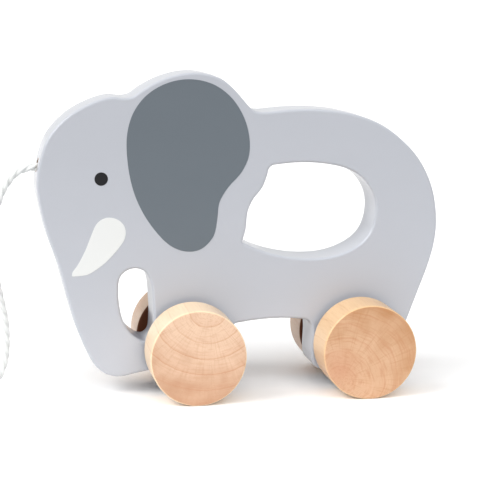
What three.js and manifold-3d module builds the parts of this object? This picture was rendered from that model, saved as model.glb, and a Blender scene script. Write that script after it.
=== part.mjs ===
// A pull-along elephant: one painted slab sawn in profile, on two turning axles with natural wheels.
// Millimetres. X runs along the toy with the head toward -X, Z is up, and the slab lies in the XZ plane.
// The origin is on the floor, under the middle of the toy.

import * as THREE from 'three';
import { mergeVertices } from 'three/addons/utils/BufferGeometryUtils.js';
import Module from 'manifold-3d';

const wasm = await Module();
wasm.setup();

// ---- driving dimensions -------------------------------------------------------------------------

const SLAB_THICKNESS = 18;
const SLAB_ROUNDING = 1;

const WHEEL_RADIUS = 19;
const WHEEL_THICKNESS = 19;
const WHEEL_ROUNDING = 0.9;
const OVERALL_WIDTH = 62;
const FRONT_AXLE_X = -20.7;
const REAR_AXLE_X = 48.3;

const AXLE_RADIUS = 4;
const AXLE_RUNNING_CLEARANCE = 0.1;
const AXLE_GLUE_FILM = 0.05;
const AXLE_END_GAP = 0.4;
const AXLE_BORE_DEPTH = 13;

const PRINT_THICKNESS = 0.2;
const PRINT_GAP = 0.01;

const CORD_DIAMETER = 3.2;
const CORD_HOLE_RADIUS = 2.6;
const CORD_HOLE_HEIGHT = 92.2;
const CORD_HOLE_DEPTH = 14;
const FOREHEAD_X = -80.5;

const COIL_X = -138;
const COIL_Y = -16;
const COIL_OUTER_TURN = 24;
const COIL_TURNS = 3;
const COIL_PITCH = 3.3;
const KNOT_RADIUS = 4.2;
const KNOT_OFFSET = [-4.9, 0];

const ROUND_SEGMENTS = 48;
const SECTION_SIDES = 8;

// ---- outlines, each a short list of points [x, z] -------------------------------------------------

// From the foot of the rear leg over the rump, back, ear dome, forehead and trunk to the front foot.
const BACK_AND_TRUNK = [
  [62.7, 10], [66.3, 18.3], [69.6, 26.9], [73.5, 37.4], [78.5, 51.2], [80.6, 60],
  [81.1, 69], [78.9, 81.5], [73.2, 93.1], [65.1, 101.7], [55.9, 108], [43.6, 112.2],
  [29, 113.9], [17, 113.6], [9.4, 112.9], [5.6, 113.2], [3.1, 114.6], [0.3, 117.7],
  [-4.1, 122.5], [-9.5, 126.5], [-18.2, 128.5], [-26, 127.8], [-33.5, 125.4], [-40.3, 121.7],
  [-43.8, 119.3], [-47.5, 118.8], [-51.5, 119.2], [-57.5, 117.9], [-68.5, 112.3], [-76.5, 103.8],
  [-80.1, 94.1], [-81.3, 85], [-79.9, 75], [-77.1, 64.4], [-73.3, 53.5], [-70.2, 41.8],
  [-66, 27.4], [-61.7, 17.1], [-58.7, 12], [-54, 8.4], [-48.8, 7.4], [-42.4, 8.6],
  [-36, 9.7], [-26, 10], [-9, 9],
];
const LEG_CORNER_RADIUS = 4.5;
const BELLY_FILLET_RADIUS = 4;
const FRONT_LEG_BACK_X = -4.5;
const REAR_LEG_FRONT_X = 29.6;
const FRONT_FOOT_Z = 9;
const REAR_FOOT_Z = 7.5;
const BELLY_FRONT_Z = 28;
const BELLY_BACK_Z = 28.6;
const REAR_FOOT_HEEL_X = 58.3;

// The handle hole: a front edge that follows the ear, and a D round the rest.
const HANDLE_FRONT = [[0.2, 60.7], [1.7, 66], [2.5, 73.2], [4.6, 78], [8.2, 82.6], [10.3, 88], [10.8, 90.3]];
const HANDLE_ROUND = [
  [12.3, 91.7], [20.5, 92.5], [30, 92.4], [41.7, 90.3], [49, 86.4], [53.9, 79.8],
  [55.2, 72.5], [53.3, 64.3], [49.5, 59.6], [43.2, 56], [36.7, 54.1], [28.5, 53.5],
  [20, 54.2], [10, 56.6], [0.2, 60.7],
];

const TRUNK_HOLE = [
  [-42.3, 51.2], [-46.2, 50.4], [-48.9, 47.6], [-49.6, 42.6], [-49.1, 36], [-47.9, 30.7],
  [-45.4, 26], [-42, 22.9], [-38.6, 21.6], [-36.2, 23.3], [-35.4, 29], [-35.6, 37],
  [-36.6, 45.6], [-38.8, 49.7],
];

const EAR = [
  [-22, 126], [-31.3, 124.1], [-38.8, 119.4], [-43.7, 112.7], [-45.8, 105.8], [-46.2, 98.8],
  [-44.6, 86.2], [-41.3, 76.5], [-35.7, 67.3], [-28.6, 60], [-21.9, 57.6], [-16.3, 58.6],
  [-11.5, 63.6], [-10, 70.6], [-9.2, 77], [-6.1, 82.6], [-0.4, 89], [2.4, 95],
  [2.8, 101.6], [0.8, 110], [-4.4, 118.4], [-12, 124],
];

// The tusk has a sharp lower tip, where the line starts and ends.
const TUSK = [
  [-67.9, 48.7], [-61.7, 49.3], [-58.5, 51.1], [-55.3, 53.4], [-52.4, 56.2], [-49.4, 59.6],
  [-47.2, 62.9], [-46.6, 65.4], [-47, 67.9], [-48.4, 70], [-50.6, 71.4], [-53.4, 71.9],
  [-56, 71.2], [-58.2, 69.3], [-59.7, 66.2], [-62.5, 59.2], [-65.5, 53.4], [-67.7, 50.4],
];
const EYE_CENTRE = [-56.2, 87.2];
const EYE_RADIUS = 2.65;

// The cord's line from the end of its hole to the floor and up to the coil, points [x, y, z].
const CORD_ROUTE = [
  [-68, 0, 91.3], [-74, 0, 91.3], [-80.5, 0, 91.3], [-84.4, 0, 90.9], [-87.9, 0, 89.6],
  [-90.8, 0, 87.1], [-93.3, 0, 83.6], [-95.4, 0, 79], [-97, 0, 73], [-97.9, 0, 66],
  [-98.1, 0, 58], [-97.6, 0, 50], [-96.3, 0, 42.3], [-94.6, 0, 34.2], [-93.6, 0, 26],
  [-93.7, 0, 18], [-95, 0, 11], [-97.2, 0.1, 6.3], [-100.3, 0.4, 3], [-104.6, 0.9, 1.7],
  [-109, 1.7, 1.6], [-114, 3.2, 1.6], [-119, 5, 1.6],
];

// ---- helpers ----------------------------------------------------------------------------------------

// A smooth line through a list of [x, z] points, with a few steps to each span.
function smoothLine(points, closed = false, stepsPerSpan = 3) {
  const line = points.map(([x, z]) => new THREE.Vector3(x, z, 0));
  const curve = new THREE.CatmullRomCurve3(line, closed, 'centripetal');
  const spans = closed ? points.length : points.length - 1;
  const samples = curve.getPoints(spans * stepsPerSpan).map((p) => new THREE.Vector2(p.x, p.y));
  if (closed) samples.pop();
  return samples;
}

// A circular arc about (x, z) between two angles in degrees.
function arc(x, z, radius, fromDegrees, toDegrees, steps = 5) {
  const from = THREE.MathUtils.degToRad(fromDegrees);
  const to = THREE.MathUtils.degToRad(toDegrees);
  return Array.from({ length: steps + 1 }, (_, i) => {
    const angle = from + ((to - from) * i) / steps;
    return new THREE.Vector2(x + radius * Math.cos(angle), z + radius * Math.sin(angle));
  });
}

// Turns a shape drawn in x and z, extruded along its own z, so that it stands in the XZ plane.
function stand(geometry) {
  return geometry.rotateX(Math.PI / 2);
}

function toSolid(geometry) {
  const bare = geometry.index ? geometry.clone() : geometry;
  bare.deleteAttribute('normal');
  bare.deleteAttribute('uv');
  const merged = mergeVertices(bare, 1e-4);
  return new wasm.Manifold(new wasm.Mesh({
    numProp: 3,
    vertProperties: Float32Array.from(merged.attributes.position.array),
    triVerts: Uint32Array.from(merged.index.array),
  }));
}

function toGeometry(solid) {
  const mesh = solid.getMesh();
  const geometry = new THREE.BufferGeometry();
  geometry.setAttribute('position', new THREE.BufferAttribute(mesh.vertProperties, 3));
  geometry.setIndex(new THREE.BufferAttribute(mesh.triVerts, 1));
  geometry.computeVertexNormals();
  return geometry;
}

// ---- materials ---------------------------------------------------------------------------------------

const greyPaint = new THREE.MeshStandardMaterial({ color: 0xc6c8cf, roughness: 0.35 });
const darkGreyInk = new THREE.MeshStandardMaterial({ color: 0x727a81, roughness: 0.4 });
const blackInk = new THREE.MeshStandardMaterial({ color: 0x1c1c1e, roughness: 0.4 });
const whiteInk = new THREE.MeshStandardMaterial({ color: 0xf3f5f4, roughness: 0.4 });
const naturalWood = new THREE.MeshStandardMaterial({ color: 0xf0cfac, roughness: 0.5 });
const whiteCotton = new THREE.MeshStandardMaterial({ color: 0xf4f4f0, roughness: 0.9 });

const toy = new THREE.Group();

function addPiece(name, geometry, material) {
  const piece = new THREE.Mesh(geometry, material);
  piece.name = name;
  toy.add(piece);
  return piece;
}

// ---- the slab ------------------------------------------------------------------------------------------

function slabOutline() {
  const leg = LEG_CORNER_RADIUS;
  const fillet = BELLY_FILLET_RADIUS;
  return [
    ...smoothLine(BACK_AND_TRUNK).slice(0, -1),
    ...arc(FRONT_LEG_BACK_X - leg, FRONT_FOOT_Z + leg, leg, -90, 0),
    ...arc(FRONT_LEG_BACK_X + fillet, BELLY_FRONT_Z - fillet, fillet, 180, 90),
    ...arc(REAR_LEG_FRONT_X - fillet, BELLY_BACK_Z - fillet, fillet, 90, 0),
    ...arc(REAR_LEG_FRONT_X + leg, REAR_FOOT_Z + leg, leg, 180, 270),
    ...arc(REAR_FOOT_HEEL_X, REAR_FOOT_Z + leg, leg, 270, 335).slice(0, -1),
  ];
}

function drill(radius, length, segments) {
  return new THREE.CylinderGeometry(radius, radius, length, segments);
}

function makeSlab() {
  const profile = new THREE.Shape(slabOutline());
  const handle = [...smoothLine(HANDLE_FRONT), ...smoothLine(HANDLE_ROUND).slice(0, -1)];
  profile.holes.push(new THREE.Path(handle), new THREE.Path(smoothLine(TRUNK_HOLE, true)));
  const slab = new THREE.ExtrudeGeometry(profile, {
    depth: SLAB_THICKNESS - 2 * SLAB_ROUNDING,
    bevelThickness: SLAB_ROUNDING,
    bevelSize: SLAB_ROUNDING,
    bevelOffset: -SLAB_ROUNDING,
    bevelSegments: 2,
  });
  slab.translate(0, 0, SLAB_ROUNDING - SLAB_THICKNESS / 2);

  let solid = toSolid(stand(slab));
  const boreRadius = AXLE_RADIUS + AXLE_RUNNING_CLEARANCE;
  for (const axleX of [FRONT_AXLE_X, REAR_AXLE_X]) {
    const bore = drill(boreRadius, 2 * SLAB_THICKNESS, ROUND_SEGMENTS);
    solid = solid.subtract(toSolid(bore.translate(axleX, 0, WHEEL_RADIUS)));
  }
  const cordHole = drill(CORD_HOLE_RADIUS, 2 * CORD_HOLE_DEPTH, ROUND_SEGMENTS / 2).rotateZ(Math.PI / 2);
  return toGeometry(solid.subtract(toSolid(cordHole.translate(FOREHEAD_X, 0, CORD_HOLE_HEIGHT))));
}

addPiece('body', makeSlab(), greyPaint);

// ---- axles and wheels -------------------------------------------------------------------------------------

// Half of the profile runs from the middle of the outer face, round the tread, to the blind bore.
function makeWheel() {
  const half = WHEEL_THICKNESS / 2;
  const shoulder = WHEEL_RADIUS - WHEEL_ROUNDING;
  const boreRadius = AXLE_RADIUS + AXLE_GLUE_FILM;
  const profile = [
    new THREE.Vector2(0, -half),
    ...arc(shoulder, WHEEL_ROUNDING - half, WHEEL_ROUNDING, -90, 0, 3),
    ...arc(shoulder, half - WHEEL_ROUNDING, WHEEL_ROUNDING, 0, 90, 3),
    new THREE.Vector2(boreRadius, half),
    new THREE.Vector2(boreRadius, half - AXLE_BORE_DEPTH),
    new THREE.Vector2(0, half - AXLE_BORE_DEPTH),
  ];
  return new THREE.LatheGeometry(profile, ROUND_SEGMENTS);
}

function addWheelset(end, axleX) {
  const axleLength = OVERALL_WIDTH - 2 * (WHEEL_THICKNESS - AXLE_BORE_DEPTH + AXLE_END_GAP);
  const axle = addPiece(`${end}_axle`, drill(AXLE_RADIUS, axleLength, ROUND_SEGMENTS), naturalWood);
  axle.position.set(axleX, 0, WHEEL_RADIUS);
  const wheelY = (OVERALL_WIDTH - WHEEL_THICKNESS) / 2;
  for (const [side, sign] of [['left', -1], ['right', 1]]) {
    const wheel = addPiece(`${end}_wheel_${side}`, makeWheel(), naturalWood);
    wheel.position.set(axleX, sign * wheelY, WHEEL_RADIUS);
    wheel.rotation.x = sign > 0 ? Math.PI : 0;
  }
}

addWheelset('front', FRONT_AXLE_X);
addWheelset('rear', REAR_AXLE_X);

// ---- the printed ear, eye and tusk, one of each on both faces ------------------------------------------------

function addPrints(name, outline, material) {
  const layer = { depth: PRINT_THICKNESS, bevelEnabled: false };
  const lift = SLAB_THICKNESS / 2 + PRINT_GAP;
  const near = stand(new THREE.ExtrudeGeometry(new THREE.Shape(outline), layer));
  addPiece(`${name}_print_left`, near.clone().translate(0, -lift, 0), material);
  addPiece(`${name}_print_right`, near.translate(0, lift + PRINT_THICKNESS, 0), material);
}

const TIP_STEPS = 2;
addPrints('ear', smoothLine(EAR, true), darkGreyInk);
addPrints('tusk', smoothLine(TUSK, false, TIP_STEPS), whiteInk);
addPrints('eye', arc(...EYE_CENTRE, EYE_RADIUS, 0, 345, 23), blackInk);

// ---- the pull cord -------------------------------------------------------------------------------------------

function makeCordTube() {
  const route = CORD_ROUTE.map((p) => new THREE.Vector3(...p));
  const section = new THREE.Shape(arc(0, 0, CORD_DIAMETER / 2, 0, 360 - 360 / SECTION_SIDES, SECTION_SIDES - 1));
  return new THREE.ExtrudeGeometry(section, {
    steps: CORD_ROUTE.length,
    extrudePath: new THREE.CatmullRomCurve3(route, false, 'centripetal'),
    bevelEnabled: false,
  });
}

// The flat coil's outer shape: a washer as high as the cord is thick.
function makeCoil() {
  const outer = COIL_OUTER_TURN + CORD_DIAMETER / 2;
  const inner = COIL_OUTER_TURN - COIL_TURNS * COIL_PITCH - CORD_DIAMETER / 2;
  const rim = CORD_DIAMETER / 4;
  const profile = [
    [inner, rim], [inner + rim, 0], [outer - rim, 0], [outer, rim],
    [outer, CORD_DIAMETER - rim], [outer - rim, CORD_DIAMETER],
    [inner + rim, CORD_DIAMETER], [inner, CORD_DIAMETER - rim], [inner, rim],
  ].map(([r, z]) => new THREE.Vector2(r, z));
  const ring = new THREE.LatheGeometry(profile, ROUND_SEGMENTS);
  return ring.rotateX(Math.PI / 2).translate(COIL_X, COIL_Y, 0);
}

function makeKnot() {
  const knot = new THREE.SphereGeometry(KNOT_RADIUS, 16, 10).rotateX(Math.PI / 2);
  return knot.translate(COIL_X + KNOT_OFFSET[0], COIL_Y + KNOT_OFFSET[1], KNOT_RADIUS);
}

addPiece('pull_cord', makeCordTube(), whiteCotton);
addPiece('pull_cord_coil', makeCoil(), whiteCotton);
addPiece('pull_cord_end_knot', makeKnot(), whiteCotton);

export default toy;
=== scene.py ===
# %% [markdown]
# # A pull-along elephant
# The real toy is a grey painted slab, sawn in the profile of an elephant, on four natural
# wheels, with a white cord at the forehead. Everything here is in metres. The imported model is
# the frame: it says where each piece is, how big it is and what it turns with. Each finer piece
# is a surface worked out from the frame's own outlines and boxes, and then takes the place of
# the plain solid that it stands for.

# %% Load the frame
import math

import bmesh
import bpy
import numpy as np
from mathutils import Matrix, Vector
from mathutils.geometry import tessellate_polygon


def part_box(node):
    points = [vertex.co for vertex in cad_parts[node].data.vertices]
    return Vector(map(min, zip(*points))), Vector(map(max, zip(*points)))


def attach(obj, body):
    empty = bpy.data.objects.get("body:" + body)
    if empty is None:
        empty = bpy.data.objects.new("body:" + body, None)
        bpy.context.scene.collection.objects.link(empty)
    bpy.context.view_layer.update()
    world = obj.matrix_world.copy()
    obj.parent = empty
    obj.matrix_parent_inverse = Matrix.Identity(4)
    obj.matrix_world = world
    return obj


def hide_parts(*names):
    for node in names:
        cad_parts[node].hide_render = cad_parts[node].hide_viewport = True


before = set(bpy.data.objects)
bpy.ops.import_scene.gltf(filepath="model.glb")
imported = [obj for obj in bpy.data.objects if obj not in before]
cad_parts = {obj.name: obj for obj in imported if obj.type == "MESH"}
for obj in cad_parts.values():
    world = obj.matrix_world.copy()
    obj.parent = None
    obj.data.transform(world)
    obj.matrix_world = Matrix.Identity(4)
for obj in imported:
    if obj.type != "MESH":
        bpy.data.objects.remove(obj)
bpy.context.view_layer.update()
MM = 0.001

# %% [markdown]
# ## The camera
# A long lens a good half metre away keeps the slab's outline almost free of perspective. The
# camera stands a little to the head's side and a little above, so the slab's front edge, the
# treads of the wheels and the walls of the holes all show. A camera could be turned by a Track To
# constraint, but that allows no roll. A camera looks along its own -Z, so its matrix is built
# here from three directions: right, up and back.

# %% Camera
AIM = Vector((1.04, 0.0, 60.26)) * MM
AZIMUTH, ELEVATION, ROLL = (math.radians(a) for a in (-11.04, 9.62, 0.57))
DISTANCE = 657.13 * MM
SENSOR_WIDTH, LENS = 36.0, 121.55  # both in millimetres, as on a real camera

back = Vector((
    math.sin(AZIMUTH) * math.cos(ELEVATION),
    -math.cos(AZIMUTH) * math.cos(ELEVATION),
    math.sin(ELEVATION),
))
level = Vector((math.cos(AZIMUTH), math.sin(AZIMUTH), 0.0))
upright = back.cross(level)
right = level * math.cos(ROLL) + upright * math.sin(ROLL)
up = upright * math.cos(ROLL) - level * math.sin(ROLL)

camera = bpy.data.objects.new("camera", bpy.data.cameras.new("camera"))
camera.data.sensor_width = SENSOR_WIDTH
camera.data.lens = LENS
camera.data.clip_start = 0.05
facing = Matrix((right, up, back)).transposed().to_4x4()
camera.matrix_world = Matrix.Translation(AIM + back * DISTANCE) @ facing
bpy.context.collection.objects.link(camera)
bpy.context.scene.camera = camera
print("camera at", np.round(camera.matrix_world.translation, 3).tolist())

# %% [markdown]
# ## Lines, grids and pieces
# Four small helpers do most of the work. A smooth line goes through a short list of points. An even
# line has the same points at equal steps. A grid of points becomes a surface when each little square
# of four neighbours gets a face. And a piece is that surface made an object, on its body, with the
# plain solids that it stands for. Modifiers could make many of these shapes too, but a formula says
# where every point lies, and gives the same mesh each time.

# %% Smooth lines
def smooth_line(points, steps, closed=False, corner=180.0):
    """Each span is a cubic whose end directions are those of the parabola through three points in
    a row. Where the line turns by more than corner degrees, each side keeps its own direction."""
    knots = np.asarray(points, float)
    knots = np.vstack([knots, knots[:1]]) if closed else knots
    chord = np.diff(knots, axis=0)
    span = np.linalg.norm(chord, axis=1, keepdims=True)
    leaving = chord / span
    arriving, span_before = np.roll(leaving, 1, 0), np.roll(span, 1, 0)
    through = (span * arriving + span_before * leaving) / (span + span_before)
    cosine = (arriving * leaving).sum(1, keepdims=True)
    turned = cosine < math.cos(math.radians(corner)) - 1e-9
    if not closed:
        turned[0] = True
    start = (np.where(turned, leaving, through) * span)[:, None]
    end = (np.roll(np.where(turned, arriving, through), -1, 0) * span)[:, None]
    t = (np.arange(steps) / steps)[None, :, None]
    line = (
        (2 * t**3 - 3 * t**2 + 1) * knots[:-1, None] + (t**3 - 2 * t**2 + t) * start
        + (3 * t**2 - 2 * t**3) * knots[1:, None] + (t**3 - t**2) * end
    ).reshape(-1, knots.shape[1])
    return line if closed else np.vstack([line, knots[-1:]])


def even_line(line, step, closed=False):
    """The same line at equal distances: each coordinate is read off against the length so far."""
    whole_line = np.vstack([line, line[:1]]) if closed else line
    along = np.r_[0, np.cumsum(np.linalg.norm(np.diff(whole_line, axis=0), axis=1))]
    at = np.linspace(0, along[-1], int(round(along[-1] / step)) + 1)
    even = np.stack([np.interp(at, along, column) for column in whole_line.T], 1)
    return even[:-1] if closed else even


def softened(loop, reach):
    """A closed line with its corners eased: the line is averaged with its neighbours under a bell
    curve reach metres wide, by fading its higher frequencies."""
    step = np.linalg.norm(loop[1] - loop[0])
    wave = np.fft.rfftfreq(len(loop), step)
    fade = np.exp(-2 * (math.pi * wave * reach) ** 2)
    return np.fft.irfft(np.fft.rfft(loop, axis=0) * fade[:, None], len(loop), axis=0)


corner_test = smooth_line([(0, 0), (1, 0), (1, 1), (0, 1)], 8, closed=True)
print("a square of 4 points becomes a smooth line of", len(corner_test))


# %% Grids and pieces
SHARP = math.radians(50)
DOUBLES = 1e-6  # points nearer than a thousandth of a millimetre are one point


def grid_quads(rows, columns):
    """Four corner numbers for each square between row i and i + 1, column j and j + 1, where the
    last column joins the first."""
    i, j = np.arange(rows - 1)[:, None], np.arange(columns)[None, :]
    k = (j + 1) % columns
    quads = [i * columns + j, (i + 1) * columns + j, (i + 1) * columns + k, i * columns + k]
    return np.stack(quads, -1).reshape(-1, 4)


def make_piece(name, points, faces, body, slot, nodes=(), uv=None):
    """A closed, smooth-shaded piece: doubles merged, faces turned outwards, creases kept."""
    mesh = bpy.data.meshes.new(name)
    mesh.from_pydata(np.asarray(points).tolist(), [], [list(face) for face in faces])
    if uv is not None:
        mesh.uv_layers.new(name="lay").data.foreach_set("uv", np.asarray(uv, "f").ravel())
    shell = bmesh.new()
    shell.from_mesh(mesh)
    bmesh.ops.remove_doubles(shell, verts=shell.verts, dist=DOUBLES)
    bmesh.ops.recalc_face_normals(shell, faces=shell.faces)
    loose = sum(not edge.is_manifold for edge in shell.edges)
    shell.to_mesh(mesh)
    shell.free()
    mesh.shade_smooth()
    mesh.set_sharp_from_angle(angle=SHARP)
    piece = bpy.data.objects.new(name, mesh)
    bpy.context.collection.objects.link(piece)
    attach(piece, body)
    if nodes:
        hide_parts(*nodes)
    print(f"{name}: {len(mesh.polygons)} faces, {loose} open edges")
    return piece


# %% [markdown]
# ## The cord's route
# The cord is glued in a hole at the forehead, arches out, hangs down past the trunk and lies
# along the floor. What is left of its half metre is put away in a flat coil with a knot at its
# end. The free part is one smooth line through a few points. The coil is a spiral: the radius
# shrinks by a little more than the cord's thickness at each turn. A simulated rope could be
# dropped into place, but a drawn route has exactly the length and the place that the frame says.

# %% Cord route
CORD_DIAMETER = 3.2 * MM
EXIT = (-80.5 * MM, 0.0, 91.3 * MM)
FREE_ROUTE = [
    (-68, 0, 91.3), (-74, 0, 91.3), (-80.5, 0, 91.3), (-84.4, 0, 90.9), (-87.9, 0, 89.6),
    (-90.8, 0, 87.1), (-93.3, 0, 83.6), (-95.4, 0, 79), (-97, 0, 73), (-97.9, 0, 66),
    (-98.1, 0, 58), (-97.6, 0, 50), (-96.3, 0, 42.3), (-94.6, 0, 34.2), (-93.6, 0, 26),
    (-93.7, 0, 18), (-95, 0, 11), (-97.2, 0.1, 6.3), (-100.3, 0.4, 3), (-104.6, 0.9, 1.7),
    (-109, 1.7, 1.6), (-114, 3.2, 1.6), (-119, 5, 1.6), (-128, 7.4, 1.6),
]
COIL_CENTRE = np.array([-138, -16]) * MM
COIL_OUTER_TURN, COIL_TURNS, COIL_PITCH = 24 * MM, 3, 3.3 * MM
COIL_POINTS = 36  # in each turn
TAIL_BEND = 7.5 * MM
CORD_STEP = 0.7 * MM

turn = np.linspace(0, COIL_TURNS, COIL_POINTS * COIL_TURNS + 1)
coil_radius = COIL_OUTER_TURN - COIL_PITCH * turn
coil = np.stack([
    COIL_CENTRE[0] - coil_radius * np.sin(2 * math.pi * turn),
    COIL_CENTRE[1] + coil_radius * np.cos(2 * math.pi * turn),
    np.full_like(turn, CORD_DIAMETER / 2),
], 1)
quarter = np.linspace(0, math.pi / 2, 10)[1:]
tail = coil[-1] + np.stack([
    -TAIL_BEND * np.sin(quarter), TAIL_BEND * (np.cos(quarter) - 1), 0 * quarter,
], 1)
cord_points = np.vstack([np.array(FREE_ROUTE) * MM, coil, tail])
cord_line = even_line(smooth_line(cord_points, 8), CORD_STEP)
whole = np.linalg.norm(np.diff(cord_line, axis=0), axis=1).sum()

# %% [markdown]
# ## Three strands laid together
# The cord is soft cotton in three strands. Its section is the outline of three circles that
# press into each other, and that section turns once in every lay, about four diameters. Turning
# the section as it goes along the line gives the bumps that catch the light. Across the line the
# section needs two steady directions: near the floor, one of them lies flat, and above it, where
# the cord hangs in one plane, one of them is the plane's own normal. A round tube with painted
# bumps would have a smooth outline, and three separate tubes would cut into each other.

# %% Laid cord
LAY = 12.5 * MM
STRAND_OFFSET = 0.38  # from the cord's middle to each strand's, in cord radii
SECTION_POINTS = 36
FLOOR_ZONE = 10 * MM
UNEVEN, SHORT_WAVE, LONG_WAVE = 0.035, 610, 171  # how the thickness wanders, in radians a metre


def across(line):
    """Two unit directions at right angles to the line: its heading crossed with Z near the floor,
    Y elsewhere, then squared up against the heading, and the heading crossed with that."""
    heading = np.gradient(line, axis=0)
    heading /= np.linalg.norm(heading, axis=1, keepdims=True)
    flat = np.cross(heading, [0.0, 0.0, 1.0])
    side = np.where(line[:, 2:] > FLOOR_ZONE, [0.0, 1.0, 0.0], flat)
    side -= (side * heading).sum(1, keepdims=True) * heading
    side /= np.linalg.norm(side, axis=1, keepdims=True)
    return side, np.cross(heading, side)


def strand_outline(angle, radius):
    """Distance to the outline of three pressed circles: with a the angle from the nearest strand,
    offset * cos a + sqrt(strand^2 - offset^2 * sin^2 a)."""
    third = 2 * math.pi / 3
    a = (angle + third / 2) % third - third / 2
    offset = STRAND_OFFSET * radius
    strand = radius - offset
    return offset * np.cos(a) + np.sqrt(strand**2 - (offset * np.sin(a)) ** 2)


def laid_cord(name, line, laid_before=0.0, **how):
    """The section carried along a line, turned by one full turn a lay and scaled by 1 plus a
    product of two sines of the length so far. Both ends close on the line. The cord's own map
    has the turn round the section as U and the number of lays so far as V."""
    side, over = across(line)
    step = np.linalg.norm(np.diff(line, axis=0), axis=1)
    along = laid_before + np.r_[0, np.cumsum(step)]
    column = 2 * math.pi * np.arange(SECTION_POINTS) / SECTION_POINTS
    size = 1 + UNEVEN * np.sin(along * SHORT_WAVE + 1.3) * np.sin(along * LONG_WAVE)
    reach = strand_outline(column, CORD_DIAMETER / 2)[None, :] * size[:, None]
    reach[[0, -1]] = 0.0
    turned = column[None, :] - 2 * math.pi * along[:, None] / LAY
    points = (
        line[:, None] + (reach * np.cos(turned))[..., None] * side[:, None]
        + (reach * np.sin(turned))[..., None] * over[:, None]
    )
    rows = len(line)
    row, col = np.arange(rows - 1)[:, None], np.arange(SECTION_POINTS)[None, :]
    corners = [(row, col), (row + 1, col), (row + 1, col + 1), (row, col + 1)]
    uv = np.stack([
        np.stack([c / SECTION_POINTS + 0 * r, along[r] / LAY + 0 * c], -1) for r, c in corners
    ], 2)
    return make_piece(name, points.reshape(-1, 3), grid_quads(rows, SECTION_POINTS),
                      "elephant", "white_cotton", uv=uv.reshape(-1, 2), **how)


cord = laid_cord("laid_pull_cord", cord_line, nodes=("pull_cord", "pull_cord_coil"))

# %% [markdown]
# ## The knot and the frayed end
# A cord's end is tied in an overhand knot, which is a trefoil that has been cut open. The ring
# swells and shrinks three times while the line goes twice round it, and it rises and dips as
# often. The two cut ends pass each other once more, the standing part above the stub. It could be
# drawn point by point, but the trefoil's three sines keep its crossings even. A short tuft of
# loose yarns comes out of the stub, each a fine hair on its own gentle bend.

# %% Knot
KNOT_CENTRE = np.array([COIL_CENTRE[0] - 4.2 * MM, COIL_CENTRE[1], 0.92 * CORD_DIAMETER])
KNOT_RING, KNOT_LOBE, KNOT_RISE = 0.85, 0.42, 0.42  # in cord diameters
KNOT_GAP = 0.25  # radians left open where the trefoil is cut
KNOT_STEP = 0.5 * MM
KNOT_IN = [(1.03, -2.06, -0.42), (1.37, -1.37, -0.13), (1.56, -0.69, 0.22), (1.47, -0.03, 0.41)]
KNOT_OUT = [(1.53, -0.06, -0.42), (1.75, 0.62, -0.42), (1.72, 1.35, -0.42)]

phase = np.linspace(KNOT_GAP, 2 * math.pi - KNOT_GAP, 26)
ring = KNOT_RING + KNOT_LOBE * np.cos(3 * phase)
trefoil = np.stack([
    ring * np.cos(2 * phase), ring * np.sin(2 * phase), KNOT_RISE * np.sin(3 * phase),
], 1)
knot_points = KNOT_CENTRE + np.vstack([KNOT_IN, trefoil, KNOT_OUT]) * CORD_DIAMETER * [-1, -1, 1]
knot_line = even_line(smooth_line(knot_points, 8), KNOT_STEP)
knot = laid_cord("overhand_knot", knot_line, laid_before=whole, nodes=("pull_cord_end_knot",))


# %% Frayed end
def hairs(lines, radius, sides=5):
    """Many fine tubes at once: round sections that shrink to a point at both ends of each line."""
    count, rows, _ = lines.shape
    heading = np.gradient(lines, axis=1)
    side = np.cross(heading, [0.0, 0.0, 1.0])
    side /= np.linalg.norm(side, axis=2, keepdims=True)
    over = np.cross(heading, side)
    over /= np.linalg.norm(over, axis=2, keepdims=True)
    angle = 2 * math.pi * np.arange(sides) / sides
    thick = radius * np.sin(np.linspace(0, math.pi, rows))[:, None] ** 0.4
    ring = (
        lines[:, :, None] + (thick * np.cos(angle))[None, ..., None] * side[:, :, None]
        + (thick * np.sin(angle))[None, ..., None] * over[:, :, None]
    )
    first = np.arange(count)[:, None, None] * rows * sides
    return ring.reshape(-1, 3), (grid_quads(rows, sides)[None] + first).reshape(-1, 4)


HAIRS, HAIR_ROWS = 42, 9
HAIR_RADIUS, TUFT_RADIUS, ROOT_DEPTH = 0.14 * MM, 0.9 * MM, 1.2 * MM
LOWEST_HAIR = 0.25 * MM
rng = np.random.default_rng(7)
stub = knot_line[-1] - knot_line[-4]
stub /= np.linalg.norm(stub)
spread = rng.uniform(-1, 1, (HAIRS, 1, 3)) * [1.0, 0.5, 0.7]
length = rng.uniform(3.5, 6.5, (HAIRS, 1, 1)) * MM
reach = np.linspace(0, 1, HAIR_ROWS)[None, :, None]
hair_lines = (
    knot_line[-1] - stub * ROOT_DEPTH + spread * TUFT_RADIUS
    + length * (stub * reach + spread * 0.5 * reach**2)
)
hair_lines[..., 2] = np.maximum(hair_lines[..., 2], LOWEST_HAIR)
points, faces = hairs(hair_lines, HAIR_RADIUS)
frayed = make_piece("frayed_cord_end", points, faces, "elephant", "white_cotton")

# %% [markdown]
# ## The slab
# The body is one board, sawn to the elephant's outline, with its long edges rounded over on a
# router before it was painted. Its shape is a profile carried along a path: the path is each
# closed line where the saw went, and the profile goes down one face's edge, across the thickness
# and up the other edge. The saw lines are read from the frame's own body, so the shape is the
# frame's, only finer. Both faces are then filled between the lines. A Bevel modifier on a thick
# outline would be shorter to write. The profile was chosen because its rounding is a formula.

# %% Outlines from the frame
PLANE_TOLERANCE = 5e-6


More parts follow.
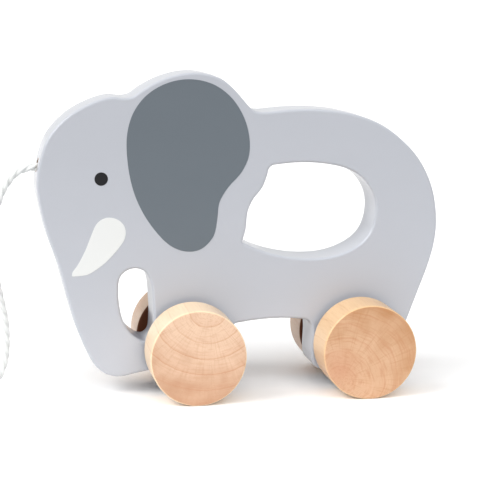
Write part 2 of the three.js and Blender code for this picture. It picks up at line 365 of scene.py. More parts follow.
def saw_lines(node, height):
    """Closed lines [x, z] along a node's edges at that Y, longest first. An edge between two faces
    that both lie in the plane is inside a flat and is passed over."""
    mesh = bmesh.new()
    mesh.from_mesh(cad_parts[node].data)
    bmesh.ops.remove_doubles(mesh, verts=mesh.verts, dist=DOUBLES)

    def there(vertex):
        return abs(vertex.co.y - height) < PLANE_TOLERANCE

    neighbours = {}
    for edge in mesh.edges:
        off_plane = [face for face in edge.link_faces if not all(map(there, face.verts))]
        if all(map(there, edge.verts)) and off_plane:
            a, b = edge.verts
            neighbours.setdefault(a, []).append(b)
            neighbours.setdefault(b, []).append(a)
    lines = []
    while neighbours:
        loop = [next(iter(neighbours))]
        following = neighbours[loop[0]][0]
        while following is not loop[0]:
            loop.append(following)
            a, b = neighbours[following]
            following = b if a is loop[-2] else a
        for vertex in loop:
            del neighbours[vertex]
        lines.append(np.array([[v.co.x, v.co.z] for v in loop]))
    mesh.free()
    return sorted(lines, key=lambda line: -abs(area(line)))


def area(line):
    """Signed area inside a closed line: half the sum of cross products of neighbours. It is
    positive where the line goes counter-clockwise."""
    after = np.roll(line, -1, 0)
    return 0.5 * float((line[:, 0] * after[:, 1] - after[:, 0] * line[:, 1]).sum())


def turned_to(line, sign):
    """The line, reversed where its area hasn't the wanted sign."""
    return line if area(line) * sign > 0 else line[::-1]


def fine_line(line, step, ease):
    """A smooth, evenly stepped and slightly eased copy of a closed line."""
    return softened(even_line(smooth_line(line, 6, True, corner=35), step, True), ease)


SLAB_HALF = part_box("body")[1][1]
EDGE_ROUNDING = 1.0 * MM
SAW_STEP, SAW_EASE = 0.55 * MM, 0.45 * MM
outer, handle, trunk = (
    fine_line(line, SAW_STEP, SAW_EASE) for line in saw_lines("body", SLAB_HALF - EDGE_ROUNDING)
)
print("saw lines:", [len(line) for line in (outer, handle, trunk)], "points")


# %% Edges and boards
def outward(line):
    """Unit normals on the right of a closed line, which is out of the wood."""
    along = np.roll(line, -1, 0) - np.roll(line, 1, 0)
    normal = np.stack([along[:, 1], -along[:, 0]], 1)
    return normal / np.linalg.norm(normal, axis=1, keepdims=True)


def edge_wall(line, rounding, half, arc_steps=8, wall_steps=5, margin=0.3 * MM):
    """The edge's profile carried along a line: a quarter circle at each face, where the inset is
    rounding * (1 - sin a) and the drop rounding * (1 - cos a), a straight wall, and a flat
    margin."""
    a = np.linspace(0, math.pi / 2, arc_steps + 1)
    inset = np.r_[rounding + margin, rounding * (1 - np.sin(a))]
    depth = np.r_[half, half - rounding * (1 - np.cos(a))]
    wall = np.linspace(depth[-1], -depth[-1], wall_steps + 1)[1:-1]
    inset = np.r_[inset, 0 * wall, inset[::-1]]
    depth = np.r_[depth, wall, -depth[::-1]]
    flat = line[None] - inset[:, None, None] * outward(line)[None]
    y = np.broadcast_to(depth[:, None], flat.shape[:2])
    return np.stack([flat[..., 0], y, flat[..., 1]], -1)


def board(edges):
    """Walls from edge_wall and the two flat faces filled between their first and last rows."""
    points, faces, rims, first = [], [], [], 0
    for wall in edges:
        rows, columns, _ = wall.shape
        points.append(wall.reshape(-1, 3))
        faces += (grid_quads(rows, columns) + first).tolist()
        rims.append(first + np.arange(columns))
        first += rows * columns
    fill = np.array(tessellate_polygon(
        [[(x, z, 0.0) for x, _, z in wall[0]] for wall in edges]
    ))
    near_rim = np.concatenate(rims)
    last_row = np.concatenate([(wall.shape[0] - 1) * wall.shape[1] + 0 * rim
                               for wall, rim in zip(edges, rims)])
    faces += near_rim[fill].tolist() + (near_rim + last_row)[fill].tolist()
    return np.vstack(points), faces


# %% Slab
AXLE_BORE, BORE_CHAMFER, BORE_POINTS = 4.1 * MM, 0.25 * MM, 96
around = np.linspace(0, 2 * math.pi, BORE_POINTS + 1)[:-1]
axle_at = {
    end: (np.array(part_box(f"{end}_axle")[0]) + np.array(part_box(f"{end}_axle")[1])) / 2
    for end in ("front", "rear")
}
bores = [
    turned_to(centre[[0, 2]] + AXLE_BORE * np.stack([np.cos(around), np.sin(around)], 1), -1)
    for centre in axle_at.values()
]
edges = [edge_wall(turned_to(outer, 1), EDGE_ROUNDING, SLAB_HALF)]
edges += [edge_wall(turned_to(hole, -1), EDGE_ROUNDING, SLAB_HALF) for hole in (handle, trunk)]
edges += [edge_wall(bore, BORE_CHAMFER, SLAB_HALF, arc_steps=3) for bore in bores]
slab = make_piece("painted_slab", *board(edges), "elephant", "grey_paint", nodes=("body",))


# %% [markdown]
# ## The cord's hole
# The hole was drilled after painting, so its wall is bare wood and shows as a warm speck above
# the cord. It could be worked into the slab's grid, but it crosses the edge's rows at an angle
# of its own. So a drill's shape is taken out of the slab with an exact boolean, which leaves a
# clean rim, and the faces inside it and inside the axle bores get the second material.

# %% Drill the cord's hole
def lathe(profile, segments, centre, axis="y"):
    """Points at centre + radius * (cos, sin) across the axis and offset along it, for each
    [radius, offset] of the profile and each of the equal angles."""
    radius, offset = np.asarray(profile, float).T
    angle = 2 * math.pi * np.arange(segments) / segments
    u = radius[:, None] * np.cos(angle)
    v = radius[:, None] * np.sin(angle)
    w = np.broadcast_to(offset[:, None], u.shape)
    order = {"y": (u, w, v), "x": (w, u, v)}[axis]
    points = np.stack(order, -1) + np.asarray(centre)
    return points.reshape(-1, 3), grid_quads(len(radius), segments)


HOLE_RADIUS, HOLE_DEPTH, DRILL_TIP = 2.6 * MM, 14 * MM, 1.2 * MM
DRILL_START = -4 * MM  # clear of the forehead
WALL_TOLERANCE = 0.05 * MM
HOLE_MOUTH = (EXIT[0], 0.0, 92.2 * MM)
drill_profile = [
    (0, DRILL_START), (HOLE_RADIUS, DRILL_START), (HOLE_RADIUS, HOLE_DEPTH),
    (0, HOLE_DEPTH + DRILL_TIP),
]
points, faces = lathe(drill_profile, 48, HOLE_MOUTH, "x")
drill = make_piece("drill", points, faces, "elephant", "grey_paint")
cut = slab.modifiers.new("cord hole", "BOOLEAN")
cut.operation, cut.solver, cut.object = "DIFFERENCE", "EXACT", drill
drilled = bpy.data.meshes.new_from_object(
    slab.evaluated_get(bpy.context.evaluated_depsgraph_get())
)
slab.modifiers.clear()
slab.data = drilled
bpy.data.objects.remove(drill)
drilled.set_sharp_from_angle(angle=SHARP)

# %% Bare wood inside the holes
middles = np.empty(3 * len(drilled.polygons), "f")
drilled.polygons.foreach_get("center", middles)
middles = middles.reshape(-1, 3)
from_drill = np.hypot(middles[:, 1], middles[:, 2] - HOLE_MOUTH[2])
in_hole = from_drill < HOLE_RADIUS + WALL_TOLERANCE
in_hole &= (middles[:, 0] < EXIT[0] + HOLE_DEPTH + 2 * MM)
for centre in axle_at.values():
    from_axle = np.hypot(middles[:, 0] - centre[0], middles[:, 2] - centre[2])
    in_hole |= from_axle < AXLE_BORE + WALL_TOLERANCE
print("slab:", len(drilled.polygons), "faces,", int(in_hole.sum()), "of them bare wood")

# %% [markdown]
# ## The printed ear, eye and tusk
# The ear, eye and tusk are screen printed, one of each on both faces. A layer of ink is far
# thinner than a board, and what shows of its thickness is a fine soft rim. A mask in the paint's
# material could colour the shapes, but it would have no rim and no gloss of its own. So each
# print is a very thin board on the frame's own print outline, let into the paint by a hair.

# %% Prints
INK_THICKNESS, INK_ROOT, INK_ROUNDING = 0.08 * MM, 0.01 * MM, 0.035 * MM
INK_STEP, INK_EASE, INK_MARGIN = 0.3 * MM, 0.3 * MM, 0.2 * MM
prints = {}
for side, sign in (("left", -1), ("right", 1)):
    for name, slot in (("ear", "dark_grey_print"), ("tusk", "white_print"), ("eye", "black_print")):
        node = f"{name}_print_{side}"
        outer_face = sign * max(abs(y) for y in (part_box(node)[0][1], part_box(node)[1][1]))
        line = turned_to(fine_line(saw_lines(node, outer_face)[0], INK_STEP, INK_EASE), 1)
        half = (INK_THICKNESS + INK_ROOT) / 2
        wall = edge_wall(line, INK_ROUNDING, half, arc_steps=3, wall_steps=1, margin=INK_MARGIN)
        wall[..., 1] += sign * (SLAB_HALF - INK_ROOT + half)
        prints[node] = make_piece(f"{name}_ink_{side}", *board([wall]), "elephant", slot,
                                  nodes=(node,))

# %% [markdown]
# ## Wheels and axles
# Each wheel is turned on a lathe, so it is a profile spun round the axle's line: a face that is
# very slightly crowned, a rounded corner, a tread, another corner, and a blind bore at the back
# for the axle. A ready-made cylinder with a Bevel has none of the crown or the bore. The profile
# is a list of radius and offset, and the offset is mirrored for the other side of the toy. The
# axles are dowels with chamfered ends, spun in the same way.

# %% Wheels
WHEEL_ROUNDING, CROWN = 0.9 * MM, 0.15 * MM
AXLE_RADIUS, GLUE_FILM = 4.0 * MM, 0.05 * MM
BORE_DEPTH, BORE_EDGE = 13 * MM, 0.4 * MM
WHEEL_SEGMENTS = 192


def wheel_profile(radius, half):
    """[radius, offset] from the middle of the outer face, where the offset is -half, to the middle
    of the bore's end. The face falls away with the square of the radius."""
    shoulder = radius - WHEEL_ROUNDING
    r = np.linspace(0, shoulder, 15)[:-1]
    face = np.stack([r, -half + CROWN * (r / shoulder) ** 2], 1)
    a = np.linspace(0, math.pi / 2, 13)
    corner = np.stack([np.sin(a), -np.cos(a)], 1) * WHEEL_ROUNDING
    outer_corner = corner + [shoulder, WHEEL_ROUNDING - half]
    outer_corner[:, 1] += CROWN * np.cos(a) ** 2
    inner_corner = corner[::-1] * [1, -1] + [shoulder, half - WHEEL_ROUNDING]
    y = np.linspace(WHEEL_ROUNDING - half, half - WHEEL_ROUNDING, 9)[1:-1]
    tread = np.stack([radius + 0 * y, y], 1)
    hole = AXLE_RADIUS + GLUE_FILM
    bore = [(hole + BORE_EDGE, half), (hole, half - BORE_EDGE), (hole, half - BORE_DEPTH),
            (0, half - BORE_DEPTH)]
    across_back = np.linspace(shoulder, hole + BORE_EDGE, 8)[1:-1]
    inner_face = np.stack([across_back, np.full(6, half)], 1)
    return np.vstack([face, outer_corner, tread, inner_corner, inner_face, bore])


wheels = {}
for end, centre in axle_at.items():
    for side, sign in (("left", -1), ("right", 1)):
        node = f"{end}_wheel_{side}"
        low, high = (np.array(corner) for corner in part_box(node))
        half = (high[1] - low[1]) / 2
        profile = wheel_profile(centre[2], half) * [1, -sign]
        middle = (centre[0], (low[1] + high[1]) / 2, centre[2])
        points, faces = lathe(profile, WHEEL_SEGMENTS, middle)
        wheels[node] = make_piece(f"turned_{node}", points, faces, f"{end}_wheelset", "wheel_wood",
                                  nodes=(node,))

# %% Axles
DOWEL_CHAMFER, DOWEL_SEGMENTS = 0.6 * MM, 64
axles = {}
for end, centre in axle_at.items():
    half = (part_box(f"{end}_axle")[1][1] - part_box(f"{end}_axle")[0][1]) / 2
    shank = np.linspace(-half + DOWEL_CHAMFER, half - DOWEL_CHAMFER, 9)
    tip = AXLE_RADIUS - DOWEL_CHAMFER
    y = np.r_[-half, -half, shank, half, half]
    r = np.r_[0, tip, np.full(9, AXLE_RADIUS), tip, 0]
    points, faces = lathe(np.stack([r, y], 1), DOWEL_SEGMENTS, centre)
    axles[end] = make_piece(f"{end}_dowel", points, faces, f"{end}_wheelset", "axle_wood",
                            nodes=(f"{end}_axle",))

# %% [markdown]
# ## Shader helpers
# A material is a small network of nodes. These helpers add one node at a time: put() makes a node
# and wires or sets its inputs, calc() and calc3() are arithmetic on numbers and on vectors,
# blend() mixes two colours and ease() turns a range of values into a soft step from 0 to 1. A
# group is a network with named inputs and outputs, built once and used in several materials.

# %% Node helpers
def put(tree, kind, sockets=(), **settings):
    """A node with its settings, its inputs wired to another node or set to a value."""
    node = tree.nodes.new("ShaderNode" + kind)
    for key, value in settings.items():
        setattr(node, key, value)
    for key, value in dict(sockets).items():
        if isinstance(value, bpy.types.NodeSocket):
            tree.links.new(value, node.inputs[key])
        else:
            node.inputs[key].default_value = value
    return node


def calc(tree, operation, *values):
    return put(tree, "Math", enumerate(values), operation=operation).outputs[0]


def calc3(tree, operation, *values):
    node = put(tree, "VectorMath", enumerate(values), operation=operation)
    return node.outputs[1 if operation in ("LENGTH", "DISTANCE", "DOT_PRODUCT") else 0]


def blend(tree, share, a, b):
    return put(tree, "Mix", {0: share, 6: a, 7: b}, data_type="RGBA").outputs[2]


def ease(tree, value, low, high):
    sockets = {"Value": value, "From Min": low, "From Max": high}
    return put(tree, "MapRange", sockets, interpolation_type="SMOOTHSTEP").outputs[0]


def noise(tree, vector, scale, detail=2.0, roughness=0.5):
    sockets = {"Vector": vector, "Scale": scale, "Detail": detail, "Roughness": roughness}
    return put(tree, "TexNoise", sockets).outputs[0]


def new_group(name, inputs, outputs):
    """A group's tree, with the sockets that carry its inputs in and its results out."""
    tree = bpy.data.node_groups.new(name, "ShaderNodeTree")
    for label, kind, value in inputs:
        socket = tree.interface.new_socket(label, in_out="INPUT", socket_type="NodeSocket" + kind)
        socket.default_value = value
    for label, kind in outputs:
        tree.interface.new_socket(label, in_out="OUTPUT", socket_type="NodeSocket" + kind)
    return tree, tree.nodes.new("NodeGroupInput").outputs, tree.nodes.new("NodeGroupOutput").inputs


def use(tree, group, **sockets):
    """A group placed in a material. An underscore stands for a space in an input's name."""
    node = tree.nodes.new("ShaderNodeGroup")
    node.node_tree = group
    for key, value in sockets.items():
        label = key.replace("_", " ")
        if isinstance(value, bpy.types.NodeSocket):
            tree.links.new(value, node.inputs[label])
        else:
            node.inputs[label].default_value = value
    return node.outputs


# %% Material helpers
def new_material(name, **constants):
    """A material, its node tree and its Principled shader, with constant sockets already set."""
    material = bpy.data.materials.new(name)
    material.use_nodes = True
    shader = material.node_tree.nodes["Principled BSDF"]
    for key, value in constants.items():
        shader.inputs[key.replace("_", " ")].default_value = value
    return material, material.node_tree, shader


def place(tree):
    """Where a point is on the object, in millimetres."""
    spot = tree.nodes.new("ShaderNodeTexCoord").outputs["Object"]
    return calc3(tree, "MULTIPLY", spot, (1000, 1000, 1000))


def relief(tree, shader, height, depth):
    """Bumps of that depth in metres where height goes from 0 to 1."""
    bump = put(tree, "Bump", {"Height": height, "Distance": depth, "Strength": 1.0})
    tree.links.new(bump.outputs[0], shader.inputs["Normal"])


def paint_with(material, *pieces):
    for piece in pieces:
        piece.data.materials.clear()
        piece.data.materials.append(material)


# %% [markdown]
# ## Painted wood
# Sprayed satin paint on a sanded board is not quite flat. It has a fine orange peel about a
# millimetre across, the board's grain shows through as long low ridges, and the coat is a
# touch thinner in places, so its colour drifts very slightly. One flat colour would look like
# moulded plastic, so three noises at three scales are added up. The prints lie on the same coat,
# so they share the group.

# %% Group: sprayed coat
coat, given, result = new_group(
    "sprayed coat",
    [("Place", "Vector", (0, 0, 0)), ("Peel", "Float", 1.0), ("Grain", "Float", 1.0)],
    [("Height", "Float"), ("Drift", "Float"), ("Specks", "Float")],
)
PEEL_PER_MM, SPECKS_PER_MM = 0.75, 2.6
RIDGES_PER_MM, DRIFTS_PER_MM = (0.035, 1.4, 1.4), (0.02, 0.05, 0.05)  # along X, Y and Z
peel = noise(coat, given["Place"], PEEL_PER_MM, 1.0)
ridges = noise(coat, calc3(coat, "MULTIPLY", given["Place"], RIDGES_PER_MM), 1.0, 3.0, 0.6)
height = calc(coat, "ADD", calc(coat, "MULTIPLY", peel, given["Peel"]),
              calc(coat, "MULTIPLY", ridges, given["Grain"]))
drift = noise(coat, calc3(coat, "MULTIPLY", given["Place"], DRIFTS_PER_MM), 1.0, 2.0)
specks = ease(coat, noise(coat, given["Place"], SPECKS_PER_MM, 3.0, 0.7), 0.66, 0.78)
coat.links.new(height, result["Height"])
coat.links.new(drift, result["Drift"])
coat.links.new(specks, result["Specks"])
print("sprayed coat:", len(coat.nodes), "nodes")


# %% Paint and ink
ROUGH_DRIFT, ROUGH_SPECKS = 0.08, 0.05


def coated(name, thin, full, roughness, peel=1.0, grain=1.0, depth=0.012 * MM, **constants):
    """Colour between a thin and a full coat by drift, roughness up where there are specks."""
    material, tree, shader = new_material(name, **constants)
    film = use(tree, coat, Place=place(tree), Peel=peel, Grain=grain)
    tree.links.new(blend(tree, film["Drift"], (*thin, 1), (*full, 1)), shader.inputs["Base Color"])
    rough = calc(tree, "MULTIPLY_ADD", film["Drift"], ROUGH_DRIFT, roughness - ROUGH_DRIFT / 2)
    rough = calc(tree, "MULTIPLY_ADD", film["Specks"], ROUGH_SPECKS, rough)
    tree.links.new(rough, shader.inputs["Roughness"])
    relief(tree, shader, film["Height"], depth)
    return material


grey_paint = coated("satin_grey_paint", (0.478, 0.496, 0.541), (0.496, 0.513, 0.559), 0.42,
                    Coat_Weight=0.6, Coat_Roughness=0.10)
ear_ink = coated("dark_grey_ink", (0.137, 0.161, 0.184), (0.147, 0.172, 0.196), 0.38, peel=0.8)
tusk_ink = coated("white_ink", (0.735, 0.750, 0.743), (0.757, 0.768, 0.761), 0.38, peel=0.8)
eye_ink = coated("black_ink", (0.011, 0.011, 0.012), (0.015, 0.015, 0.017), 0.36, peel=0.8)
for side in ("left", "right"):
    paint_with(ear_ink, prints[f"ear_print_{side}"])
    paint_with(tusk_ink, prints[f"tusk_print_{side}"])
    paint_with(eye_ink, prints[f"eye_print_{side}"])
print("coats:", grey_paint.name, ear_ink.name, tusk_ink.name, eye_ink.name)

# %% [markdown]
# ## Growth rings
# The wheels are plain pale hardwood, cut across the branch, so their faces show end grain. Each
# year's wood darkens slowly to a thin line and then starts pale again. A ring is the distance
# from the tree's middle divided by the width of a year: the whole part counts the years and the
# fraction says how late in the year the wood is. Between the lines lie many finer layers. Fine
# rays run out from the middle, and pores are specks on the face and long streaks on the tread,
# because they run along the axle. The ready-made Wave Texture also draws rings, but all of them
# alike, and a real tree has good years and bad ones.

# %% Group: growth rings
wood, given, result = new_group(
    "growth rings",
    [("Place", "Vector", (0, 0, 0)), ("Middle", "Vector", (0, 0, 0)), ("Year", "Float", 6.0),
     ("Waver", "Float", 1.0), ("Stain at", "Vector", (0, 0, 0)), ("Stain size", "Float", 8.0)],
    [("Late", "Float"), ("Fine", "Float"), ("Warmth", "Float"), ("Rays", "Float"),
     ("Pores", "Float"), ("Stain", "Float")],
)
BENDS_PER_MM, FRAYS_PER_MM = 0.055, 0.55
OVAL = (0.9, 0, 1)  # rings a tenth wider than high, the same all along the axle
TAPER = 0.03  # how far a ring moves out for each millimetre along the axle
spot = calc3(wood, "SUBTRACT", given["Place"], given["Middle"])
bend = noise(wood, calc3(wood, "MULTIPLY", spot, (1, 0.3, 1)), BENDS_PER_MM, 2.0)
fray = noise(wood, calc3(wood, "MULTIPLY", spot, (1, 0.1, 1)), FRAYS_PER_MM, 2.0)
axes = put(wood, "SeparateXYZ", {0: spot}).outputs
from_middle = calc3(wood, "LENGTH", calc3(wood, "MULTIPLY", spot, OVAL))
from_middle = calc(wood, "MULTIPLY_ADD", axes[1], TAPER, from_middle)
wavered = calc(wood, "MULTIPLY_ADD", calc(wood, "SUBTRACT", bend, 0.5), given["Waver"], from_middle)
wavered = calc(wood, "MULTIPLY_ADD", calc(wood, "SUBTRACT", fray, 0.5), 0.5, wavered)
years = calc(wood, "DIVIDE", wavered, given["Year"])

# %% Growth rings: the late wood
season = calc(wood, "FRACT", years)
count = calc(wood, "FLOOR", years)
strength = put(wood, "TexWhiteNoise", {"W": count}, noise_dimensions="1D").outputs["Value"]
strength = calc(wood, "MULTIPLY_ADD", strength, 0.45, 0.55)
slow = calc(wood, "MULTIPLY", ease(wood, season, 0.35, 0.97), 0.3)
sharp = calc(wood, "POWER", ease(wood, season, 0.84, 0.97), 2.0)
line = calc(wood, "MULTIPLY_ADD", sharp, 0.7, slow)
line = calc(wood, "MULTIPLY", line, calc(wood, "SUBTRACT", 1.0, ease(wood, season, 0.968, 1.0)))
wood.links.new(calc(wood, "MULTIPLY", line, strength), result["Late"])

# %% Growth rings: layers, warmth, rays, pores and stain
angle = calc(wood, "ARCTAN2", axes[2], axes[0])
layers = put(wood, "CombineXYZ", {0: calc(wood, "MULTIPLY", wavered, 1.5),
                                  1: calc(wood, "MULTIPLY", angle, 2.5),
                                  2: calc(wood, "MULTIPLY", axes[1], 0.03)}).outputs[0]
wood.links.new(ease(wood, noise(wood, layers, 1.0, 2.0), 0.46, 0.68), result["Fine"])
PATCHES_PER_MM, PORES_PER_MM = (0.11, 0.04, 0.11), (2.6, 0.12, 2.6)
patches = noise(wood, calc3(wood, "MULTIPLY", spot, PATCHES_PER_MM), 1.0, 3.0)
aged = calc(wood, "MULTIPLY_ADD", ease(wood, from_middle, 6.0, 42.0), 0.34, 0.16)
wood.links.new(calc(wood, "MULTIPLY_ADD", patches, 0.45, aged), result["Warmth"])
polar = put(wood, "CombineXYZ", {0: calc(wood, "MULTIPLY", angle, 30.0),
                                 1: calc(wood, "MULTIPLY", from_middle, 0.10),
                                 2: calc(wood, "MULTIPLY", axes[1], 0.06)}).outputs[0]
wood.links.new(ease(wood, noise(wood, polar, 1.0, 2.0), 0.48, 0.74), result["Rays"])
pores = noise(wood, calc3(wood, "MULTIPLY", spot, PORES_PER_MM), 1.0, 2.0)
wood.links.new(ease(wood, pores, 0.54, 0.72), result["Pores"])
LONG_STAIN = (1, 0.2, 1)  # a stain runs five times as far along the axle
stained = calc3(wood, "DISTANCE", calc3(wood, "MULTIPLY", given["Place"], LONG_STAIN),
                calc3(wood, "MULTIPLY", given["Stain at"], LONG_STAIN))
ragged = calc(wood, "MULTIPLY", calc(wood, "SUBTRACT", bend, 0.5), given["Stain size"])
stained = calc(wood, "MULTIPLY_ADD", ragged, 0.7, stained)
stained = calc(wood, "SUBTRACT", 1.0, ease(wood, stained, 0.0, given["Stain size"]))
wood.links.new(stained, result["Stain"])
print("growth rings:", len(wood.nodes), "nodes")

# %% [markdown]
# ## Turned wood
# A wheel shows its wood in three ways. The outer face is end grain, with rings, layers and rays. The
# tread is side grain, so all of these are fainter there. On the two left wheels the tread is also
# tinted paler: partly the side grain's own colour, partly painted light from the head's side. The
# inner face is painted dark brown and has no lacquer. This is a painted shade for the deep shadow in
# the narrow gap by the slab; the real face's own colour there isn't known. All three come from one
# material that looks at how far a point is from the toy's middle plane, which is simpler than a
# material and a seam for each. A boolean mask would leave a hard line, so each is eased.

# %% Wood material
# The inner face's colour below is a painted shade: dark brown for the deep shadow in the narrow gap by
# the slab.
PAINTED_SHADE_BROWN = (0.12, 0.036, 0.013)
# The tread's tint is partly the side grain's own paler colour and partly painted light from the head's
# side.
SIDE_GRAIN_AND_LIGHT_SHARE, STREAKS_LOST, LINES_LOST = 0.8, 0.75, 0.5  # what the tread has less of
PORE_SHARE, STAIN_SHARE = 0.10, 0.55


def bare_wood(name, pale, warm, late, middle, year=6.0, waver=2.0, lines=0.6, fine=0.15, rays=0.3,
              stain_at=(0, 0, -999), stain_size=8.0, stain=(0.55, 0.25, 0.14), roughness=0.5,
              inner_face=-1.0, outer_face=99.0, side_grain=None, gloss=0.0, **constants):
    """Pale wood drifting to warm, with a paler tint on the tread where one is given: partly the side
    grain's own colour, partly painted light. Rays, fine layers, late-wood lines, pores and one stain
    are laid over it, and last the inner face's painted shade, a dark brown. Places and lengths are in
    millimetres."""
    material, tree, shader = new_material(name, **constants)
    seen = use(tree, wood, Place=place(tree), Middle=middle, Year=year, Waver=waver,
               Stain_at=stain_at, Stain_size=stain_size)

    def laid_over(below, mask, amount, tint):
        return blend(tree, calc(tree, "MULTIPLY", mask, amount), below, (*tint, 1))

    colour = blend(tree, ease(tree, seen["Warmth"], 0.34, 0.80), (*pale, 1), (*warm, 1))
    beside = calc(tree, "ABSOLUTE", put(tree, "SeparateXYZ", {0: place(tree)}).outputs[1])
    on_tread = calc(tree, "SUBTRACT", 1.0, ease(tree, beside, outer_face - 0.32, outer_face - 0.17))
    # Painted light in part: where a tint is given, the tread is paler, partly for the side grain and
    # partly for the light from the head's side.
    if side_grain:
        colour = laid_over(colour, on_tread, SIDE_GRAIN_AND_LIGHT_SHARE, side_grain)
    streaks = calc(tree, "MULTIPLY_ADD", on_tread, -STREAKS_LOST, 1.0)
    colour = laid_over(colour, calc(tree, "MULTIPLY", seen["Rays"], streaks), rays, warm)
    between = tuple(0.5 * (w + l) for w, l in zip(warm, late))
    colour = laid_over(colour, calc(tree, "MULTIPLY", seen["Fine"], streaks), fine, between)
    faded = calc(tree, "MULTIPLY_ADD", on_tread, -LINES_LOST * lines, lines)
    colour = laid_over(colour, seen["Late"], faded, late)
    colour = laid_over(colour, seen["Pores"], PORE_SHARE, tuple(0.62 * c for c in late))
    colour = laid_over(colour, seen["Stain"], STAIN_SHARE, stain)
    # Painted shade: the inner face turns dark brown, and below it takes away the lacquer there.
    painted_shade = calc(tree, "SUBTRACT", 1.0, ease(tree, beside, inner_face + 0.4, inner_face + 0.7))
    colour = blend(tree, painted_shade, colour, (*PAINTED_SHADE_BROWN, 1))
    tree.links.new(colour, shader.inputs["Base Color"])
    if gloss:
        lacquer = calc(tree, "MULTIPLY", calc(tree, "SUBTRACT", 1.0, painted_shade), gloss)
        tree.links.new(lacquer, shader.inputs["Coat Weight"])
    tree.links.new(calc(tree, "MULTIPLY_ADD", seen["Pores"], 0.12, roughness),
                   shader.inputs["Roughness"])
    height = calc(tree, "SUBTRACT", calc(tree, "MULTIPLY", seen["Late"], 0.6), seen["Pores"])
    relief(tree, shader, height, 0.02 * MM)
    return material


# %% Each wheel's wood
PALE, WARM, LATE = (0.785, 0.555, 0.395), (0.535, 0.30, 0.18), (0.50, 0.19, 0.075)
hub = {end: Vector(centre) / MM for end, centre in axle_at.items()}
on_every_wheel = {
    "inner_face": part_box("front_wheel_right")[0][1] / MM + 0.05,
    "outer_face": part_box("front_wheel_right")[1][1] / MM,
    "gloss": 0.45, "Coat_Roughness": 0.12, "Specular_IOR_Level": 0.25,
}
far_wheel = {"pale": (0.77, 0.555, 0.385), "warm": (0.57, 0.36, 0.22), "year": 6.2, "waver": 1.6}
# The two left wheels get a paler tread tint, partly side grain and partly painted light from the
# head's side; the right wheels get none.
figure = {  # and how far the tree's middle is from each wheel's
    "front_wheel_left": ((3.6, 0, 19.5), {
        "pale": PALE, "warm": WARM, "year": 6.3, "waver": 1.4, "lines": 0.46, "fine": 0.22,
        "stain_at": tuple(hub["front"] + Vector((0.4, -31, -1.8))), "stain_size": 1.7,
        "stain": (0.60, 0.36, 0.22), "side_grain": (0.955, 0.745, 0.505),
    }),
    "rear_wheel_left": ((-11.5, 0, -10.5), {
        "pale": (0.66, 0.415, 0.26), "warm": (0.48, 0.24, 0.105), "year": 5.2, "waver": 6.0,
        "lines": 0.3, "fine": 0.35, "rays": 0.35,
        "stain_at": tuple(hub["rear"] + Vector((-12, -31, -7))), "stain_size": 13.0,
        "side_grain": (0.83, 0.575, 0.325),
    }),
    "front_wheel_right": ((-9, 0, -26), far_wheel),
    "rear_wheel_right": ((16, 0, 21), far_wheel),
}
for node, wheel in wheels.items():
    offset, looks = figure[node]
    middle = tuple(hub[node.split("_")[0]] + Vector(offset))
    finish = bare_wood(f"{node}_wood", late=LATE, middle=middle, **looks, **on_every_wheel)
    paint_with(finish, wheel)
print("wheel woods:", [wheel.data.materials[0].name for wheel in wheels.values()])

# %% Dowels and drilled holes
dowel_wood = bare_wood("dowel_wood", PALE, WARM, LATE, (40, 0, -60), year=3.0, lines=0.4)
paint_with(dowel_wood, *axles.values())
hole_wood = bare_wood("drilled_wood", (0.52, 0.34, 0.21), (0.46, 0.29, 0.17), LATE, (0, 0, -160),
                      year=2.5, lines=0.5, roughness=0.7)
paint_with(grey_paint, slab)
slab.data.materials.append(hole_wood)
slab.data.polygons.foreach_set("material_index", in_hole.astype(np.int32))
print("slab:", [material.name for material in slab.data.materials])

# %% [markdown]
# ## Cotton
# Each strand is itself a bundle of fine yarns. Their direction follows the strand, so the pattern
# reads the cord's own UV map: U goes round the section and turns with the strands, and V counts
# the lays. A pattern on the object's own coordinates would stand still while the cord bends.
# Soft cotton has a faint sheen of loose fibre at its edges. Between the strands its colour is painted
# greyer, a painted shade in the grooves.

# %% Cotton
YARN_SLANT, YARNS_ROUND = 1.3, 42.0
# The darker of the two whites below is a painted shade in the grooves between the strands.
GROOVE_SHADE_WHITE, STRAND_WHITE = (0.71, 0.725, 0.715), (0.82, 0.835, 0.825)
cotton, tree, shader = new_material("twisted_cotton", Roughness=0.92, Sheen_Weight=0.35,
                                    Sheen_Roughness=0.5)
lay_map = put(tree, "UVMap", uv_map="lay").outputs[0]
u, v, _ = put(tree, "SeparateXYZ", {0: lay_map}).outputs
slant = calc(tree, "MULTIPLY_ADD", v, YARN_SLANT, u)
yarn = put(tree, "CombineXYZ", {0: calc(tree, "MULTIPLY", slant, YARNS_ROUND),
                                1: calc(tree, "MULTIPLY", v, 5.0)}).outputs[0]
yarns = noise(tree, yarn, 1.0, 3.0, 0.6)
# Painted shade: the colour goes greyer in the grooves, away from each strand's crown.
three_waves = calc(tree, "COSINE", calc(tree, "MULTIPLY", u, 6 * math.pi))
lobe = calc(tree, "MULTIPLY_ADD", three_waves, 0.5, 0.5)
tone = calc(tree, "MULTIPLY_ADD", yarns, 0.35, calc(tree, "MULTIPLY", lobe, 0.65))
yarn_and_groove_shade = blend(tree, ease(tree, tone, 0.05, 0.8), (*GROOVE_SHADE_WHITE, 1), (*STRAND_WHITE, 1))
tree.links.new(yarn_and_groove_shade, shader.inputs["Base Color"])
relief(tree, shader, yarns, 0.12 * MM)
paint_with(cotton, cord, knot, frayed)
print("cotton:", len(tree.nodes), "nodes")

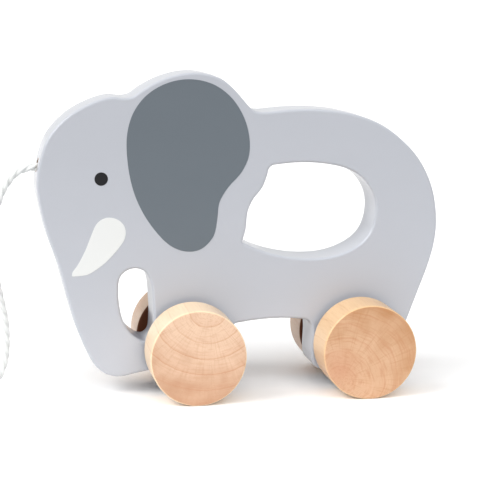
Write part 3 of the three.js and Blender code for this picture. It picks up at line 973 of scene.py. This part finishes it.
# %% [markdown]
# ## Floor and light
# The studio has a white backdrop and four soft boxes: the strongest on the head's side, one above
# the camera, a weak one on the rump's side and a wide one overhead. Each is a sun lamp with a
# large angle, so its shadow is soft and its strength is the same all over the floor. Area lamps
# would do as well, but they fade with distance, and the floor would darken at its far side.
#
# The floor is pure white to the camera. To light that bounces off it, it is a little darker, and
# darker still in front of the toy. No real floor does this. It is a choice that keeps the toy's
# lower parts from being lit too strongly from below. The backdrop behind the toy shines
# on the walls of its holes. The view transform is Standard, so white stays white.

# %% Floor
FLOOR_HALF = 30.0
floor_mesh = bpy.data.meshes.new("floor")
floor_mesh.from_pydata(
    [(-FLOOR_HALF, -FLOOR_HALF, 0), (FLOOR_HALF, -FLOOR_HALF, 0),
     (FLOOR_HALF, FLOOR_HALF, 0), (-FLOOR_HALF, FLOOR_HALF, 0)], [], [(0, 1, 2, 3)])
floor = bpy.data.objects.new("floor", floor_mesh)
bpy.context.collection.objects.link(floor)

# %% Table top
table_top, tree, shader = new_material("white_table", Roughness=0.6, Specular_IOR_Level=0.2)
WHITE, NEAR_BOUNCE, FAR_BOUNCE = ((shade, shade, shade, 1) for shade in (1.0, 0.90, 0.26))
NEAR_MM, FAR_MM = 20.0, 340.0
ahead = calc(tree, "MULTIPLY", put(tree, "SeparateXYZ", {0: place(tree)}).outputs[1], -1.0)
seen_directly = tree.nodes.new("ShaderNodeLightPath").outputs["Is Camera Ray"]
bounce = blend(tree, ease(tree, ahead, NEAR_MM, FAR_MM), NEAR_BOUNCE, FAR_BOUNCE)
tree.links.new(blend(tree, seen_directly, bounce, WHITE), shader.inputs["Base Color"])
paint_with(table_top, floor)
print("floor:", 2 * FLOOR_HALF, "m square,", table_top.name)

# %% Sky and backdrop
SKY, SKY_SEEN, BACKDROP = 0.18, 1.05, 0.76
world = bpy.data.worlds.new("studio")
bpy.context.scene.world = world
world.use_nodes = True
tree = world.node_tree
sky = tree.nodes["Background"]
sky.inputs["Color"].default_value = (1.0, 1.0, 1.0, 1)
heading = tree.nodes.new("ShaderNodeTexCoord").outputs["Generated"]
behind = put(tree, "SeparateXYZ", {0: heading}).outputs[1]
lit = calc(tree, "MULTIPLY_ADD", ease(tree, behind, 0.3, 0.9), BACKDROP, SKY)
seen_by_camera = tree.nodes.new("ShaderNodeLightPath").outputs["Is Camera Ray"]
lit = calc(tree, "MAXIMUM", lit, calc(tree, "MULTIPLY", seen_by_camera, SKY_SEEN))
tree.links.new(lit, sky.inputs["Strength"])
print("sky:", SKY, "and", round(SKY + BACKDROP, 2), "on the backdrop")


# %% Soft boxes
def soft_box(name, direction, strength, degrees, mirrored):
    """A sun lamp that shines from a direction, as wide as an angle. Where it isn't mirrored, gloss
    doesn't show it."""
    lamp = bpy.data.objects.new(name, bpy.data.lights.new(name, "SUN"))
    lamp.data.energy = strength
    lamp.data.angle = math.radians(degrees)
    lamp.rotation_euler = Vector(direction).to_track_quat("Z", "Y").to_euler()
    lamp.visible_glossy = mirrored
    bpy.context.collection.objects.link(lamp)
    print(f"{name}: strength {strength}, {degrees} degrees wide")


soft_box("head_side", (-0.74, -0.27, 0.62), 2.15, 40, mirrored=True)
soft_box("rump_side", (0.72, -0.24, 0.66), 0.45, 70, mirrored=True)
soft_box("over_camera", (0.0, -0.75, 0.66), 1.72, 60, mirrored=False)
soft_box("overhead", (0.0, -0.10, 1.0), 0.60, 120, mirrored=False)
bpy.context.scene.view_settings.view_transform = "Standard"
